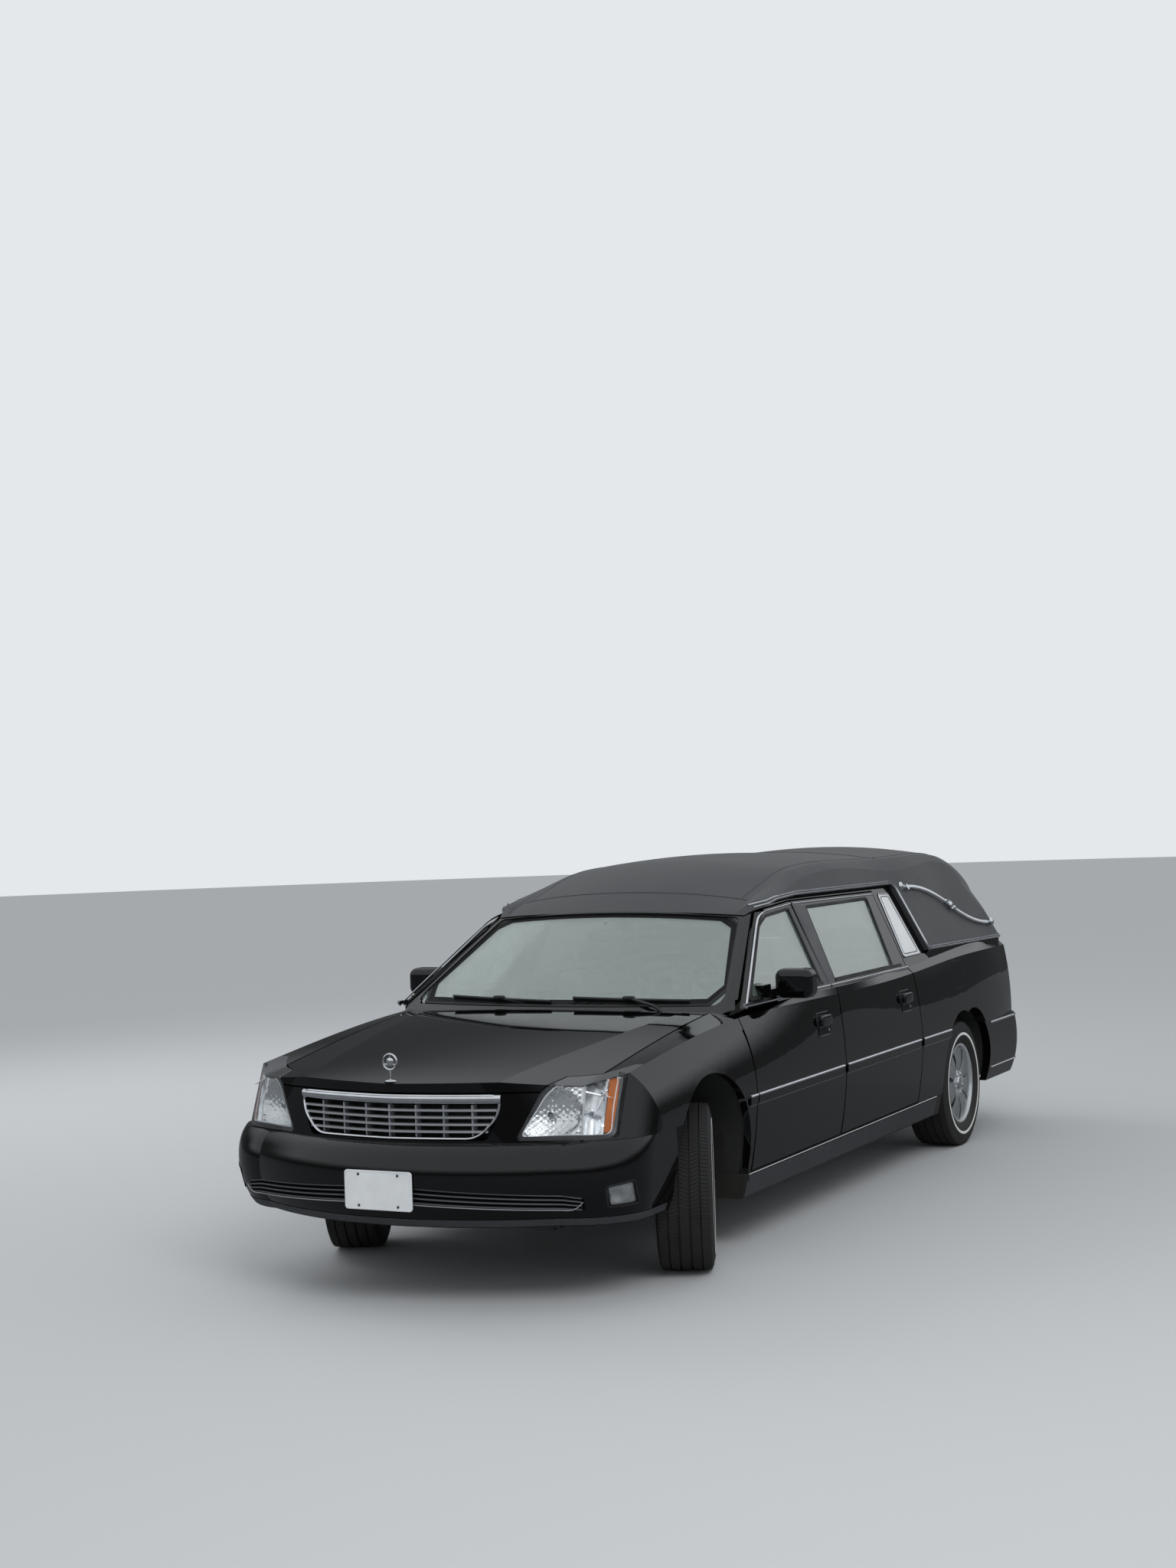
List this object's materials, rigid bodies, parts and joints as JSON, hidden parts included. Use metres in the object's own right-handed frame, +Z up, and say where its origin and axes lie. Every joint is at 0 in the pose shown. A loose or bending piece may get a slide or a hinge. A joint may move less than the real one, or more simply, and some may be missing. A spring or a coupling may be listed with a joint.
{
  "type": "hearse",
  "caption": "Black hearse on a stretched sedan body with a grained covered roof, landau bows, whitewall tyres, opening doors, hood and side-hinged load door.",
  "frame": {"origin": "on the ground under the middle of the body, at the bounding box's bottom centre", "axes": "+Y towards the tail, +X towards the vehicle's left, +Z up"},
  "size_m": [2.092, 5.7908, 1.658],
  "materials": {
    "body_paint": "gloss",
    "roof_cover": "matte grained",
    "bright_trim": "polished",
    "alloy": "painted silver",
    "steel": "raw",
    "iron": "raw",
    "tinted_glass": "tinted",
    "lamp_glass": "clear",
    "red_lens": "translucent",
    "dark_plastic": "satin",
    "underbody": "matte",
    "tyre_rubber": "matte",
    "seat_trim": "satin",
    "deck_trim": "satin",
    "white_card": "gloss"
  },
  "bodies": {
    "body": {"floor_pan": "underbody", "cabin_frame": "body_paint", "cover_roof": "roof_cover", "front_bumper": "body_paint", "rear_bumper": "body_paint", "grille": "bright_trim", "headlamps": "lamp_glass", "tail_lamps": "red_lens", "windshield": "tinted_glass", "cowl": "dark_plastic", "engine_block": "iron", "fuel_tank": "dark_plastic", "exhaust": "steel", "front_suspension": "steel", "rear_suspension": "steel", "seats": "seat_trim", "dashboard": "dark_plastic", "steering_wheel": "dark_plastic", "casket_deck": "deck_trim", "side_cards": "white_card", "landau_bows": "bright_trim", "front_plate": "white_card", "fender_left": "body_paint", "quarter_left": "body_paint", "fender_right": "body_paint", "quarter_right": "body_paint"},
    "hood": {"hood": "body_paint", "hood_ornament": "bright_trim"},
    "load_door": {"load_door": "body_paint", "load_door_glass": "tinted_glass"},
    "knuckle_left": {"knuckle_left": "iron"},
    "knuckle_right": {"knuckle_right": "iron"},
    "door_front_left": {"door_front_left": "body_paint", "glass_front_left": "tinted_glass", "mirror_left": "body_paint"},
    "door_rear_left": {"door_rear_left": "body_paint", "glass_rear_left": "tinted_glass"},
    "door_front_right": {"door_front_right": "body_paint", "glass_front_right": "tinted_glass", "mirror_right": "body_paint"},
    "door_rear_right": {"door_rear_right": "body_paint", "glass_rear_right": "tinted_glass"},
    "wheel_front_left": {"tyre_front_left": "tyre_rubber", "rim_front_left": "alloy"},
    "wheel_front_right": {"tyre_front_right": "tyre_rubber", "rim_front_right": "alloy"},
    "wheel_rear_left": {"tyre_rear_left": "tyre_rubber", "rim_rear_left": "alloy"},
    "wheel_rear_right": {"tyre_rear_right": "tyre_rubber", "rim_rear_right": "alloy"}
  },
  "joints": [
    {"name": "steer_left", "type": "hinge", "parent": "body", "child": "knuckle_left", "pos_m": [0.797, -1.805, 0.34], "axis": [0, 0, 1], "range_deg": [-56, 10]},
    {"name": "spin_front_left", "type": "hinge", "parent": "knuckle_left", "child": "wheel_front_left", "pos_m": [0.797, -1.805, 0.34], "axis": [0.9184, 0.3955, 0], "continuous": true},
    {"name": "spin_rear_left", "type": "hinge", "parent": "body", "child": "wheel_rear_left", "pos_m": [0.797, 1.645, 0.34], "axis": [1, 0, 0], "continuous": true},
    {"name": "door_front_left_hinge", "type": "hinge", "parent": "body", "child": "door_front_left", "pos_m": [0.912, -1.304, 0.68], "axis": [0, 0, -1], "range_deg": [0, 65]},
    {"name": "door_rear_left_hinge", "type": "hinge", "parent": "body", "child": "door_rear_left", "pos_m": [0.912, -0.206, 0.68], "axis": [0, 0, -1], "range_deg": [0, 65]},
    {"name": "steer_right", "type": "hinge", "parent": "body", "child": "knuckle_right", "pos_m": [-0.797, -1.805, 0.34], "axis": [0, 0, 1], "range_deg": [-56, 10]},
    {"name": "spin_front_right", "type": "hinge", "parent": "knuckle_right", "child": "wheel_front_right", "pos_m": [-0.797, -1.805, 0.34], "axis": [0.9184, 0.3955, 0], "continuous": true},
    {"name": "spin_rear_right", "type": "hinge", "parent": "body", "child": "wheel_rear_right", "pos_m": [-0.797, 1.645, 0.34], "axis": [1, 0, 0], "continuous": true},
    {"name": "door_front_right_hinge", "type": "hinge", "parent": "body", "child": "door_front_right", "pos_m": [-0.912, -1.304, 0.68], "axis": [0, 0, 1], "range_deg": [0, 65]},
    {"name": "door_rear_right_hinge", "type": "hinge", "parent": "body", "child": "door_rear_right", "pos_m": [-0.912, -0.206, 0.68], "axis": [0, 0, 1], "range_deg": [0, 65]},
    {"name": "hood_hinge", "type": "hinge", "parent": "body", "child": "hood", "pos_m": [0, -1.363, 1.028], "axis": [-1, 0, 0], "range_deg": [0, 50]},
    {"name": "load_door_hinge", "type": "hinge", "parent": "body", "child": "load_door", "pos_m": [0.566, 2.7785, 0.87], "axis": [0, 0, -1], "range_deg": [0, 95]}
  ],
  "couplings": [
    {"joint": "steer_right", "follows": "steer_left", "ratio": 1}
  ]
}
